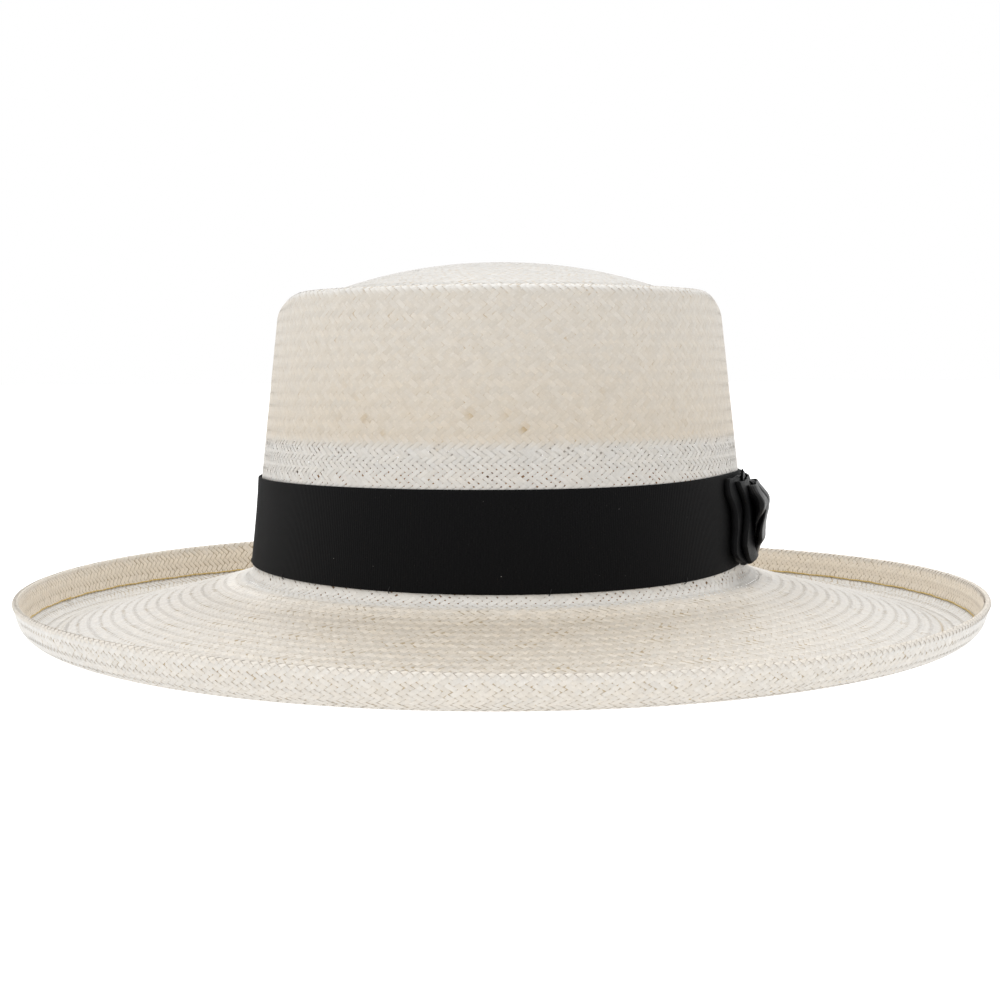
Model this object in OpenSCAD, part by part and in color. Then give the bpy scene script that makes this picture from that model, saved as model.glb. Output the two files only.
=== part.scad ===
/* [Head opening] */
// Half width of the crown where it meets the brim
head_half_w = 85; // [78:0.5:92]
// How much longer than wide the head oval is, from centre to edge
head_extra = 18; // [12:0.5:22]

/* [Crown] */
// Height of the crown's rim above the brim
crown_h = 94; // [80:1:110]
// How far the crown's wall leans in over its height
crown_taper = 10.2; // [6:0.2:14]
// Radius of the shoulder between wall and rim
shoulder_r = 9; // [5:0.5:9]
// Width of the flat ridge that runs round the top
ridge_w = 10.4; // [10:0.2:13]
// Depth of the groove inside the ridge
groove_depth = 6; // [5:0.5:9]
// Height of the dome above the rim
dome_rise = 11; // [9:0.5:14]

/* [Brim] */
// Half width of the hat at the rim of the brim
rim_half_w = 163; // [150:1:180]
// How much longer than wide the rim is, from centre to edge
rim_extra = 23; // [18:0.5:28]
// Height that the brim falls from the crown to the foot of its curl
brim_fall = 20; // [12:0.5:26]
// Height of the turned-up edge above the foot of its curl
curl_h = 13; // [12:0.5:16]
// Radius of the curl
curl_r = 9.5; // [7:0.5:10]
// How far the turned-up edge leans out
curl_lean = 4; // [2:0.5:6]

/* [Straw] */
// Thickness of the woven straw
straw_t = 0.9; // [0.7:0.1:1.1]
// Space between the brim and its folded hem
hem_gap = 0.8; // [0.8:0.1:1.2]
// Diameter of the wire inside the hem
wire_d = 0.7; // [0.4:0.1:0.7]
// Diameter of the thread along the hem
hem_thread_d = 0.5; // [0.3:0.1:0.6]

/* [Ribbon and bow] */
// Width of the grosgrain ribbon
ribbon_w = 30.5; // [26:0.5:38]
// Thickness of the ribbon
ribbon_t = 0.6; // [0.4:0.1:0.8]
// Height of the ribbon's lower edge above the foot of the crown
ribbon_up = 2.6; // [2:0.2:4]
// How far forward of the hat's side the bow's knot sits
bow_forward = 22; // [0:1:30]
// Half length of the rear loop
rear_loop_half = 34; // [28:1:40]
// Half length of the middle loop
middle_loop_half = 27; // [22:1:30]
// Half length of the top loop
top_loop_half = 17; // [14:1:20]
// Width of the cross-wrapped knot
knot_w = 11; // [8:1:14]

/* [Sweatband] */
// Width of the leather sweatband
sweat_w = 32; // [26:1:36]
// Thickness of the leather
sweat_t = 1; // [0.8:0.1:1.4]
// Diameter of the reed along the sweatband's lower edge
reed_d = 1.6; // [1.2:0.1:2]
// Number of stitches round the sweatband
stitches = 64; // [40:4:80]

/* [Hidden] */
// Flats round each oval
seg = 64;
// Clearance between pieces that lie against each other
gap = 0.15;
stitch_len = 4.6;
stitch_d = 0.5;

// How far the dome's edge stands inside the ridge, and above the crown's rim
dome_inset = 8.3;
dome_edge_up = 1.6;
dome_edge_r = 5;
// Share of the dome's flat and slope that its rounding takes up
dome_round = 0.94;
// How far the bottom of the groove lies inside the ridge
groove_inset = 3.6;
groove_r = 2.6;
// How far the ridge falls towards the groove
ridge_drop = 0.2;
ridge_r = 2;
foot_r = 4;
// How far the line's corner lies below the brim, before the curl rounds it off
curl_corner_drop = 1;

straw = "#ece4d3";
black = "#17171a";
leather = "#b98c5e";

// Corners of the straw's middle line in the side section, each [x, z, rounding
// radius], with z measured from the foot of the crown. The crown's middle is x = 0.
wall_top_w = head_half_w - crown_taper;
ridge_in_w = wall_top_w - ridge_w;
dome_z = crown_h + dome_rise;
dome_edge_w = ridge_in_w - dome_inset;
dome_edge_z = crown_h + dome_edge_up;
dome_mid_w = dome_edge_w / 2;
dome_slope = atan((dome_z - dome_edge_z) / (dome_edge_w - dome_mid_w));
dome_r = dome_round * dome_mid_w / tan(dome_slope / 2);
foot_w = rim_half_w - curl_lean;
corners = [
    [0, dome_z, 0],
    [dome_mid_w, dome_z, dome_r],
    [dome_edge_w, dome_edge_z, dome_edge_r],
    [ridge_in_w - groove_inset, crown_h - groove_depth, groove_r],
    [ridge_in_w, crown_h - ridge_drop, ridge_r],
    [wall_top_w, crown_h, shoulder_r],
    [head_half_w, 0, foot_r],
    [foot_w, -brim_fall - curl_corner_drop, curl_r],
    [rim_half_w, curl_h - brim_fall, 0]
];
// Straight pieces in each corner's arc
arc_steps = [0, 4, 2, 3, 2, 4, 3, 7, 0];

function unit(v) = v / norm(v);
function left_of(v) = [-v.y, v.x];
function flat(p) = [p.x, p.y];

// A corner c between a and b as an arc of radius r in n steps
function corner_arc(a, c, b, r, n) =
    let (
        u = unit(a - c), v = unit(b - c),
        half = acos(max(-1, min(1, u * v))) / 2,
        centre = c + unit(u + v) * r / sin(half),
        p = c + u * r / tan(half) - centre,
        q = c + v * r / tan(half) - centre,
        turn = sign(p.x * q.y - p.y * q.x) * (180 - 2 * half)
    )
    [for (i = [0:n]) let (t = turn * i / n)
        centre + [p.x * cos(t) - p.y * sin(t), p.x * sin(t) + p.y * cos(t)]];

// A line through the corners, with each corner rounded
function rounded(pts, steps) = [for (i = [0:len(pts) - 1])
    each (pts[i][2] == 0 ? [flat(pts[i])]
        : corner_arc(flat(pts[i - 1]), flat(pts[i]), flat(pts[i + 1]), pts[i][2], steps[i]))];

// The line of points beside another, d to its left
function beside(line, d) = [for (i = [0:len(line) - 1])
    let (
        before = line[max(0, i - 1)],
        after = line[min(len(line) - 1, i + 1)],
        turn_in = i == 0 || i == len(line) - 1 ? 1
            : cos(acos(min(1, unit(line[i] - before) * unit(after - line[i]))) / 2)
    )
    line[i] + left_of(unit(after - before)) * d / turn_in];

function backward(line) = [for (i = [len(line) - 1:-1:0]) line[i]];
function above_foot(line) = [for (p = line) [max(0, p.x), p.y]];

// The straw's middle line: crown, brim and curl, then the fold and the hem
layer_step = straw_t + hem_gap;
outer_layer = rounded(corners, arc_steps);
layer_n = len(outer_layer);
hem_line = beside([for (i = [layer_n - 4:layer_n - 1]) outer_layer[i]], layer_step);
rim_end = outer_layer[layer_n - 1];
rim_up = unit(rim_end - outer_layer[layer_n - 2]);
fold = [for (t = [45:45:135])
    rim_end + left_of(rim_up) * layer_step / 2 * (1 - cos(t)) + rim_up * layer_step / 2 * sin(t)];
straw_line = concat(outer_layer, fold, backward(hem_line));

under_line = above_foot(beside(straw_line, -straw_t / 2));
over_line = above_foot(beside(straw_line, straw_t / 2));
// Height of the foot of the crown above the surface that the brim rests on
foot_z = -min([for (p = under_line) p.y]);

// Half length of the oval whose half width is w
function long_of(w) =
    w <= wall_top_w ? w * (1 + head_extra / wall_top_w)
    : w <= head_half_w ? w + head_extra
    : w + head_extra + (rim_extra - head_extra) * (w - head_half_w) / (rim_half_w - head_half_w);

function oval_point(w, z, turn) = [w * cos(turn), long_of(w) * sin(turn), z + foot_z];

// Puts a piece at a point of an oval, with +X along the way out and +Z up
module at_oval(w, z, turn) {
    translate(oval_point(w, z, turn))
        rotate([0, 0, atan2(w * sin(turn), long_of(w) * cos(turn))]) children();
}

// Half width of the crown's middle surface at height z above its foot
function wall_w(z) = head_half_w - crown_taper * z / crown_h;
wall_lean = atan(crown_taper / crown_h);

// A closed section swept round the hat's ovals
module ring_solid(section) {
    n = len(section);
    points = [for (i = [0:seg - 1], p = section) oval_point(p.x, p.y, 360 * i / seg)];
    faces = [for (i = [0:seg - 1], j = [0:n - 1])
        let (i2 = (i + 1) % seg, j2 = (j + 1) % n)
        each [[i * n + j, i2 * n + j, i2 * n + j2], [i * n + j, i2 * n + j2, i * n + j2]]];
    polyhedron(points, faces);
}

// A cap: the line over and the line under both start at the hat's axis and meet
// at their far ends
module cap_solid(over, under) {
    side = concat([for (i = [1:len(over) - 1]) over[i]],
        [for (i = [len(under) - 1:-1:1]) under[i]]);
    n = len(side);
    points = concat(
        [for (i = [0:seg - 1], p = side) oval_point(p.x, p.y, 360 * i / seg)],
        [[0, 0, over[0].y + foot_z], [0, 0, under[0].y + foot_z]]);
    top = seg * n;
    faces = concat(
        [for (i = [0:seg - 1], j = [0:n - 2])
            let (i2 = (i + 1) % seg)
            each [[i * n + j, i2 * n + j, i2 * n + j + 1],
                [i * n + j, i2 * n + j + 1, i * n + j + 1]]],
        [for (i = [0:seg - 1])
            let (i2 = (i + 1) % seg)
            each [[top, i2 * n, i * n], [top + 1, i * n + n - 1, i2 * n + n - 1]]]);
    polyhedron(points, faces);
}

function round_section(x, z, d, sides) =
    [for (i = [0:sides - 1]) [x + d / 2 * cos(-360 * i / sides), z + d / 2 * sin(-360 * i / sides)]];

// A strip that stands against the crown's wall, from height z1 to z2, with its
// inner face the distance off from the straw's middle surface
function wall_strip(z1, z2, off, t) = [
    [wall_w(z1) + off, z1], [wall_w(z2) + off, z2],
    [wall_w(z2) + off + t, z2], [wall_w(z1) + off + t, z1]
];

module woven_body() {
    color(straw) cap_solid(over_line, under_line);
}

module brim_wire() {
    centre = rim_end + left_of(rim_up) * layer_step / 2;
    color("#c9c9c4") ring_solid(round_section(centre.x, centre.y, wire_d, 6));
}

// The thread lies against the cut edge of the hem
module hem_thread() {
    end = straw_line[len(straw_line) - 1];
    before = straw_line[len(straw_line) - 2];
    at = end + unit(end - before) * (hem_thread_d / 2 + gap);
    color("#c8a24e") ring_solid(round_section(at.x, at.y, hem_thread_d, 6));
}

ribbon_off = straw_t / 2 + gap;
ribbon_face = ribbon_off + ribbon_t;

module ribbon_band() {
    color(black) ring_solid(wall_strip(ribbon_up, ribbon_up + ribbon_w, ribbon_off, ribbon_t));
}

// Short tacks that hold the band's lower edge to the straw
tack_turns = [-150, -120, -90, -60, 60, 90, 120, 150, 180];
tack_len = 2.4;
tack_below = 0.4;
tack_z = ribbon_up - stitch_d / 2 - tack_below;
module band_tacks() {
    for (turn = tack_turns)
        color(black) at_oval(wall_w(tack_z) + ribbon_face, tack_z, turn)
            rotate([90, 0, 0]) cylinder(h = tack_len, d = stitch_d, center = true, $fn = 16);
}

// The bow stands on the band at the hat's left side. Its pieces are drawn from
// above, bent round the crown, with their height along the ribbon's width.
bow_bend = 122;
bow_turn = -asin(bow_forward / bow_bend);
module on_band(low, high) {
    translate([wall_w(ribbon_up) + ribbon_face, 0, ribbon_up + foot_z])
        rotate([0, -wall_lean, 0])
            translate([-bow_bend, 0, low])
                rotate([0, 0, bow_turn])
                    linear_extrude(high - low) children();
}

// A strip bent round the crown, the distance out from the band, and half a
// length each way from the bow's middle
module bent_strip(out, t, half) {
    turn = asin(half / bow_bend);
    far = bow_bend + 20;
    intersection() {
        difference() {
            circle(bow_bend + out + t, $fn = 240);
            circle(bow_bend + out, $fn = 240);
        }
        polygon([[0, 0], far * [cos(turn), -sin(turn)], far * [cos(turn), sin(turn)]]);
    }
}

module fold_end(side, out, half, r) {
    rotate(side * asin(half / bow_bend)) translate([bow_bend + out, 0]) circle(r, $fn = 32);
}

// A flat loop of ribbon: two strips joined by a fold at each end
module flat_loop(out, depth, half) {
    r = depth / 2;
    straight = half - r;
    difference() {
        union() {
            bent_strip(out, depth, straight);
            for (side = [-1, 1]) fold_end(side, out + r, straight, r);
        }
        bent_strip(out + ribbon_t, depth - 2 * ribbon_t, straight);
        for (side = [-1, 1]) fold_end(side, out + r, straight, r - ribbon_t);
    }
}

// Depth of each loop, out from the band
rear_depth = 2;
middle_depth = 2;
top_depth = 2.8;
// How much lower each upper loop is than the ribbon's edges
middle_inset = 0.6;
top_inset = 1.4;
// Space between the band and the tail
tail_out = 0.4;
rear_out = tail_out + ribbon_t + gap;
middle_out = rear_out + rear_depth + gap;
top_out = middle_out + middle_depth + gap;
knot_out = top_out + top_depth + gap;

module bow_rear_loop() {
    color(black) on_band(0, ribbon_w) flat_loop(rear_out, rear_depth, rear_loop_half);
}

module bow_middle_loop() {
    color(black) on_band(middle_inset, ribbon_w - middle_inset)
        flat_loop(middle_out, middle_depth, middle_loop_half);
}

module bow_top_loop() {
    color(black) on_band(top_inset, ribbon_w - top_inset)
        flat_loop(top_out, top_depth, top_loop_half);
}

// The knot wraps over the loops, and its ends turn in above and below them
module bow_knot() {
    reach = ribbon_t + gap;
    color(black) {
        on_band(-reach, ribbon_w + reach) bent_strip(knot_out, ribbon_t, knot_w / 2);
        for (low = [-reach, ribbon_w + gap])
            on_band(low, low + ribbon_t) bent_strip(rear_out, knot_out - rear_out, knot_w / 2);
    }
}

// The pointed end of the ribbon, flat on the band behind the loops
module bow_tail() {
    tail_w = 7;
    tail_low = 12;
    tail_side = ribbon_w - 1;
    tip = 4;
    color(black) translate([wall_w(ribbon_up) + ribbon_face, 0, ribbon_up + foot_z])
        rotate([0, -wall_lean, 0]) translate([-bow_bend, 0, 0])
            rotate([0, 0, bow_turn]) translate([bow_bend + tail_out, 0, 0])
                rotate([90, 0, 90]) linear_extrude(ribbon_t)
                    polygon([[-tail_w / 2, tail_low], [tail_w / 2, tail_low],
                        [tail_w / 2, tail_side], [tail_w / 4, ribbon_w + tip],
                        [-tail_w / 2, tail_side]]);
}

sweat_off = -straw_t / 2 - gap - sweat_t;
sweat_z = -0.4;
back_turn = 90;

module sweatband() {
    color(leather) ring_solid(wall_strip(sweat_z, sweat_z + sweat_w, sweat_off, sweat_t));
}

module sweatband_reed() {
    color("#d8c9a8") ring_solid(round_section(
        wall_w(0) + sweat_off + sweat_t / 2, sweat_z - gap - reed_d / 2, reed_d, 8));
}

// Running stitches along the sweatband's inner face, just over its lower edge
module sweatband_stitching() {
    z = sweat_z + 2.6;
    for (i = [0:stitches - 1])
        color("#efe6d2") at_oval(wall_w(z) + sweat_off - gap - stitch_d / 2, z, 360 * i / stitches)
            rotate([90, 0, 0]) cylinder(h = stitch_len, d = stitch_d, center = true, $fn = 16);
}

// Puts a flat piece on the sweatband's inner face, with +X out and +Z up the band
module on_sweatband(z, turn, off) {
    at_oval(wall_w(z) + sweat_off - off, z, turn) rotate([0, -wall_lean, 0]) children();
}

// A strip of leather over the sweatband's join, at the back
module sweatband_seam() {
    seam_w = 7;
    seam_t = 0.7;
    low = 5;
    space = 0.3;
    color("#8c653f") on_sweatband(low, back_turn, seam_t + space)
        translate([0, -seam_w / 2, 0]) cube([seam_t, seam_w, sweat_w - low - 3]);
}

// A small tied bow at the foot of the join, with two loops and two ends
module seam_bow() {
    loop_r = 3.2;
    loop_wall = 0.9;
    reach = 5.6;
    loop_w = 1.2;
    loop_turn = 12;
    waist = 0.8;
    knot = [2.6, 3, 2.2];
    end_size = [1.8, 9, 0.8];
    end_turn = 24;
    knot_up = 10;
    knot_off = 2.4;
    color(black) on_sweatband(knot_up, back_turn, knot_off) rotate([90, 0, 90]) {
        for (side = [-1, 1]) rotate(side * loop_turn) linear_extrude(loop_w, center = true)
            difference() {
                union() {
                    translate([side * reach, 0]) circle(loop_r, $fn = 32);
                    polygon([[0, waist], [0, -waist],
                        [side * reach, -loop_r], [side * reach, loop_r]]);
                }
                translate([side * reach, 0]) circle(loop_r - loop_wall, $fn = 32);
            }
        cube(knot, center = true);
        for (side = [-1, 1]) rotate(side * end_turn)
            translate([-end_size.x / 2, -end_size.y, -end_size.z / 2]) cube(end_size);
    }
}

// A blank woven tag, hanging inside the sweatband beside the join
module size_tag() {
    tag_size = [0.4, 16, 14];
    low = 9;
    off = 1.5;
    beside_join = 20;
    color("white") on_sweatband(low, back_turn - beside_join, off)
        translate([0, -tag_size.y / 2, 0]) cube(tag_size);
}

woven_body();
brim_wire();
hem_thread();
ribbon_band();
band_tacks();
bow_rear_loop();
bow_middle_loop();
bow_top_loop();
bow_knot();
bow_tail();
sweatband();
sweatband_reed();
sweatband_stitching();
sweatband_seam();
seam_bow();
size_tag();
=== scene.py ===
"""A woven straw hat with a turned-up brim, a grosgrain band and a flat side bow."""
import math

import bpy
import numpy as np
from mathutils import Matrix, Vector


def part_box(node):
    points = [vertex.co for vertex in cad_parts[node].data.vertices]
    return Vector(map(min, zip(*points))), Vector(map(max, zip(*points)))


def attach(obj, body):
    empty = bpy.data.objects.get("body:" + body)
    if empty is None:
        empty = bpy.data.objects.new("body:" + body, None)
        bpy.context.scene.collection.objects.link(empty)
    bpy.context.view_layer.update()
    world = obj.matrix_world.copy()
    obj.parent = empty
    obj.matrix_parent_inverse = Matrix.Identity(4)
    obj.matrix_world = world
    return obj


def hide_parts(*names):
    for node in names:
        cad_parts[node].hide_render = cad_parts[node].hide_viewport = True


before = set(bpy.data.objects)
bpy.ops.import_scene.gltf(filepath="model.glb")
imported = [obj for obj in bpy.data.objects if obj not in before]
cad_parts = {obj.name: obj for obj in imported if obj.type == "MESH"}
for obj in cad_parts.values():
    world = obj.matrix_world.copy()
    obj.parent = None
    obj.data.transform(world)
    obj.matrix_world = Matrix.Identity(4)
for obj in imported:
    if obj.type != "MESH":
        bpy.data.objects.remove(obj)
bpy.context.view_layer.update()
MM = 0.001
rng = np.random.default_rng(11)

# ---- the hat's dimensions, in mm
HEAD_HALF_W = 85.0
HEAD_EXTRA = 18.0
CROWN_H = 94.0
CROWN_TAPER = 10.2
SHOULDER_R = 9.0
FRONT_SHOULDER_R = 2.5
RIDGE_W = 10.4
GROOVE_DEPTH = 6.0
DOME_RISE = 11.0
RIM_HALF_W = 163.0
RIM_EXTRA = 23.0
BRIM_FALL = 20.0
CURL_H = 13.0
CURL_R = 9.5
CURL_LEAN = 4.0
LAYER_STEP = 1.7
CUT_STEP = 0.55
HEM_DEPTH = 9.3
BAND_UP = 2.6
BAND_W = 30.5
# How far the dome's edge stands inside the ridge and above it, and its rounding
DOME_INSET = 8.3
DOME_EDGE_UP = 1.6
DOME_EDGE_R = 5.0
DOME_ROUND = 0.94
# Where the groove's bottom lies inside the ridge, and how far the ridge falls towards it
GROOVE_INSET = 3.6
GROOVE_R = 2.6
RIDGE_DROP = 0.2
RIDGE_R = 2.0
FOOT_R = 4.0
CURL_CORNER_DROP = 1.0
# Length over which the hem leaves the brim, from its cut edge
HEM_LEAVES = 6.0

WALL_TOP_W = HEAD_HALF_W - CROWN_TAPER
CURL_FROM_W = RIM_HALF_W - 15
RIDGE_IN_W = WALL_TOP_W - RIDGE_W
FOOT_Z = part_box("ribbon_band")[0].z / MM - BAND_UP


# ---- the straw's line
def unit(v):
    return v / np.linalg.norm(v)


def corner_arc(before, corner, after, radius, steps=16):
    """The points of an arc that rounds the corner between two other corners."""
    u = unit(before - corner)
    v = unit(after - corner)
    half = math.acos(float(np.clip(u @ v, -1, 1))) / 2
    centre = corner + unit(u + v) * radius / math.sin(half)
    start = corner + u * radius / math.tan(half) - centre
    end = corner + v * radius / math.tan(half) - centre
    turn = math.copysign(math.pi - 2 * half, start[0] * end[1] - start[1] * end[0])
    a = np.linspace(0, turn, steps + 1)
    x = start[0] * np.cos(a) - start[1] * np.sin(a)
    z = start[0] * np.sin(a) + start[1] * np.cos(a)
    return [centre + (p, q) for p, q in zip(x, z)]


def side_line(shoulder_r):
    """The straw's middle line from the hat's axis to the rim: half width and height."""
    dome_z = CROWN_H + DOME_RISE
    edge_w = RIDGE_IN_W - DOME_INSET
    edge_z = CROWN_H + DOME_EDGE_UP
    mid_w = edge_w / 2
    slope = math.atan((dome_z - edge_z) / (edge_w - mid_w))
    dome_r = DOME_ROUND * mid_w / math.tan(slope / 2)
    corners = [
        (0, dome_z, 0),
        (mid_w, dome_z, dome_r),
        (edge_w, edge_z, DOME_EDGE_R),
        (RIDGE_IN_W - GROOVE_INSET, CROWN_H - GROOVE_DEPTH, GROOVE_R),
        (RIDGE_IN_W, CROWN_H - RIDGE_DROP, RIDGE_R),
        (WALL_TOP_W, CROWN_H, shoulder_r),
        (HEAD_HALF_W, 0, FOOT_R),
        (RIM_HALF_W - CURL_LEAN, -BRIM_FALL - CURL_CORNER_DROP, CURL_R),
        (RIM_HALF_W, CURL_H - BRIM_FALL, 0),
    ]
    points = [np.array(c[:2], float) for c in corners]
    line = []
    for i, (point, corner) in enumerate(zip(points, corners)):
        if corner[2] == 0:
            line.append(point)
        else:
            line.extend(corner_arc(points[i - 1], point, points[i + 1], corner[2]))
    return np.array(line)


def lengths_along(line):
    return np.r_[0, np.cumsum(np.linalg.norm(np.diff(line, axis=0), axis=1))]


def even_steps(line, step):
    at = lengths_along(line)
    wanted = np.linspace(0, at[-1], int(at[-1] / step) + 1)
    return np.c_[np.interp(wanted, at, line[:, 0]), np.interp(wanted, at, line[:, 1])]


def with_hem(outer):
    """The outer layer, then the fold over the rim and the hem that comes down inside it."""
    ahead = np.gradient(outer, axis=0)
    ahead /= np.linalg.norm(ahead, axis=1)[:, None]
    left = np.c_[-ahead[:, 1], ahead[:, 0]]
    at = lengths_along(outer)
    last = at > at[-1] - HEM_DEPTH
    a = np.linspace(0, math.pi, 14)[1:-1, None]
    radius = LAYER_STEP / 2
    fold = outer[-1] + left[-1] * radius * (1 - np.cos(a)) + ahead[-1] * radius * np.sin(a)
    from_cut = np.clip((at - at[-1] + HEM_DEPTH) / HEM_LEAVES, 0, 1)
    step = CUT_STEP + (LAYER_STEP - CUT_STEP) * np.sin(from_cut * math.pi / 2)
    hem = (outer + left * step[:, None])[last][::-1]
    return np.vstack([outer, fold, hem])


STEP = 0.2
outer_line = even_steps(side_line(SHOULDER_R), STEP)
STRAW = even_steps(with_hem(outer_line), STEP)
STRAW_S = lengths_along(STRAW)


def s_where(width, height):
    """How far along the straw's line the point nearest to a width and a height lies."""
    far = np.hypot(STRAW[:, 0] - width, STRAW[:, 1] - height)
    return float(STRAW_S[far.argmin()])


S_RIDGE = s_where(RIDGE_IN_W, CROWN_H)
S_SHOULDER = s_where(WALL_TOP_W, CROWN_H)
S_BAND_TOP = s_where(HEAD_HALF_W - CROWN_TAPER * 0.37, 35)
S_FOOT = s_where(HEAD_HALF_W, 0)
S_CURL = s_where(RIM_HALF_W - 14, -BRIM_FALL)
S_RIM = lengths_along(outer_line)[-1]
S_END = STRAW_S[-1]


def sharp_line():
    """The same line with the tighter shoulder of the front, matched to it step by step."""
    line = even_steps(with_hem(even_steps(side_line(FRONT_SHOULDER_R), STEP)), STEP)
    at = lengths_along(line)
    extra = at[-1] - S_END
    near = SHOULDER_R + 3
    where = np.interp(
        STRAW_S, [0, S_SHOULDER - near, S_SHOULDER + near, S_END],
        [0, S_SHOULDER - near, S_SHOULDER + near + extra, at[-1]])
    return np.c_[np.interp(where, at, line[:, 0]), np.interp(where, at, line[:, 1])]


SHARP = sharp_line()


def length_extra(width):
    """How much longer than wide the oval of a half width is, from centre to edge."""
    crown = HEAD_EXTRA * np.minimum(width / WALL_TOP_W, 1)
    out = np.clip((width - HEAD_HALF_W) / (RIM_HALF_W - HEAD_HALF_W), 0, None)
    return crown + (RIM_EXTRA - HEAD_EXTRA) * out


def perimeter(width):
    long = width + length_extra(width)
    return math.tau * np.sqrt((width**2 + long**2) / 2)


def even_angle(turn, width, long):
    """The oval's angle at a share of its way round, so that equal shares are equal lengths."""
    flat = (long**2 - width**2) / (long**2 + width**2)
    angle = math.tau * turn
    return angle - flat / 4 * np.sin(2 * angle)


def brim_lift(angle, width, height):
    """How much the brim waves up off its level line: its foot at the sides, its rim all round."""
    rim = 0.45 - np.cos(angle) + 1.7 * np.sin(angle)
    rim = rim + 0.7 * np.cos(2 * angle) - 0.4 * np.sin(2 * angle) + 0.65 * np.cos(3 * angle)
    level_w = HEAD_HALF_W + 15
    out = np.clip((width - level_w) / (CURL_FROM_W - level_w), 0, 1)
    foot = 1.8 * np.cos(angle) ** 2 * out**2 * (3 - 2 * out)
    up_the_curl = np.clip((height + BRIM_FALL - 1) / CURL_H, 0, 1.2) * (width > CURL_FROM_W)
    return foot + (rim - foot) * up_the_curl


def oval_at(angle, width, height):
    """Points at angles round the ovals of those half widths and heights."""
    long = width + length_extra(width)
    height = height + FOOT_Z + brim_lift(angle, width, height)
    return np.stack([width * np.cos(angle), long * np.sin(angle), height], -1)


def oval(turn, width, height):
    """Points at shares of a turn round the ovals of those half widths and heights."""
    return oval_at(even_angle(turn, width, width + length_extra(width)), width, height)


def straw_point(turn, s):
    """Points of the straw's middle surface; the shoulder is tighter at the front and back."""
    width, height = (np.interp(s, STRAW_S, STRAW[:, k]) for k in (0, 1))
    sharp_width, sharp_height = (np.interp(s, STRAW_S, SHARP[:, k]) for k in (0, 1))
    angle = even_angle(turn, width, width + length_extra(width))
    front = np.clip((np.abs(np.sin(angle)) - 0.15) / 0.4, 0, 1)
    front = front**2 * (3 - 2 * front)
    return oval_at(angle, width + (sharp_width - width) * front, height + (sharp_height - height) * front)


def normalised(v):
    return v / np.maximum(np.linalg.norm(v, axis=-1, keepdims=True), 1e-9)


def straw_axes(turn, s):
    """The way round, the way along the line and the way out of the straw at those points."""
    small = 0.001
    round_it = straw_point(turn + small, s) - straw_point(turn - small, s)
    along = straw_point(turn, s + 0.3) - straw_point(turn, s - 0.3)
    return normalised(round_it), normalised(along), normalised(np.cross(along, round_it))


# ---- meshes
def mesh_of(name, points, quads, material, smooth=True):
    """An object from points in mm and rows of four point numbers."""
    mesh = bpy.data.meshes.new(name)
    mesh.vertices.add(len(points))
    mesh.vertices.foreach_set("co", (points * MM).astype(np.float32).ravel())
    mesh.loops.add(quads.size)
    mesh.loops.foreach_set("vertex_index", quads.astype(np.int32).ravel())
    mesh.polygons.add(len(quads))
    mesh.polygons.foreach_set("loop_start", np.arange(0, quads.size, 4, dtype=np.int32))
    mesh.update(calc_edges=True)
    if smooth:
        mesh.shade_smooth()
    mesh.materials.append(material)
    made = bpy.data.objects.new(name, mesh)
    bpy.context.scene.collection.objects.link(made)
    return made


def grid_quads(rows, columns, first=0, close_rows=False, close_columns=False):
    """The quads of a grid of points, numbered row by row from first."""
    r = np.arange(rows if close_rows else rows - 1)
    c = np.arange(columns if close_columns else columns - 1)
    r, c = np.meshgrid(r, c, indexing="ij")
    r2 = (r + 1) % rows
    c2 = (c + 1) % columns
    quads = np.stack([r * columns + c, r * columns + c2, r2 * columns + c2, r2 * columns + c], -1)
    return quads.reshape(-1, 4) + first


def pairs(u, v):
    """The values of u beside those of v, as rows of two."""
    return np.stack(np.broadcast_arrays(u, v), -1).reshape(-1, 2)


def set_uv(made, uv):
    """One UV pair for each point: mm along the piece, and across it."""
    mesh = made.data
    corner = np.zeros(len(mesh.loops), np.int32)
    mesh.loops.foreach_get("vertex_index", corner)
    layer = mesh.uv_layers.new(name="fibre")
    layer.data.foreach_set("uv", uv[corner].astype(np.float32).ravel())


def grid_mesh(name, points, u, v, material, close_rows=False, close_columns=False):
    """An object from a grid of points, with their UVs."""
    quads = grid_quads(*points.shape[:2], close_rows=close_rows, close_columns=close_columns)
    made = mesh_of(name, points.reshape(-1, 3), quads, material)
    set_uv(made, pairs(u, v))
    return made


def straw_mesh(name, points, uvs, marks, quads):
    """Straws from lists of arrays. The marks are four numbers that the material reads."""
    made = mesh_of(name, np.vstack(points), np.vstack(quads), STRAW_MATERIAL)
    set_uv(made, np.vstack(uvs))
    attribute = made.data.attributes.new("straw_marks", "FLOAT_COLOR", "POINT")
    attribute.data.foreach_set("color", np.vstack(marks).astype(np.float32).ravel())
    return made


def hand_in(piece, slot, *nodes):
    """What a piece is made of (slot, not used), and the CAD nodes that it stands in for."""
    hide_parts(*nodes)
    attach(piece, "root")
    return piece


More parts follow.
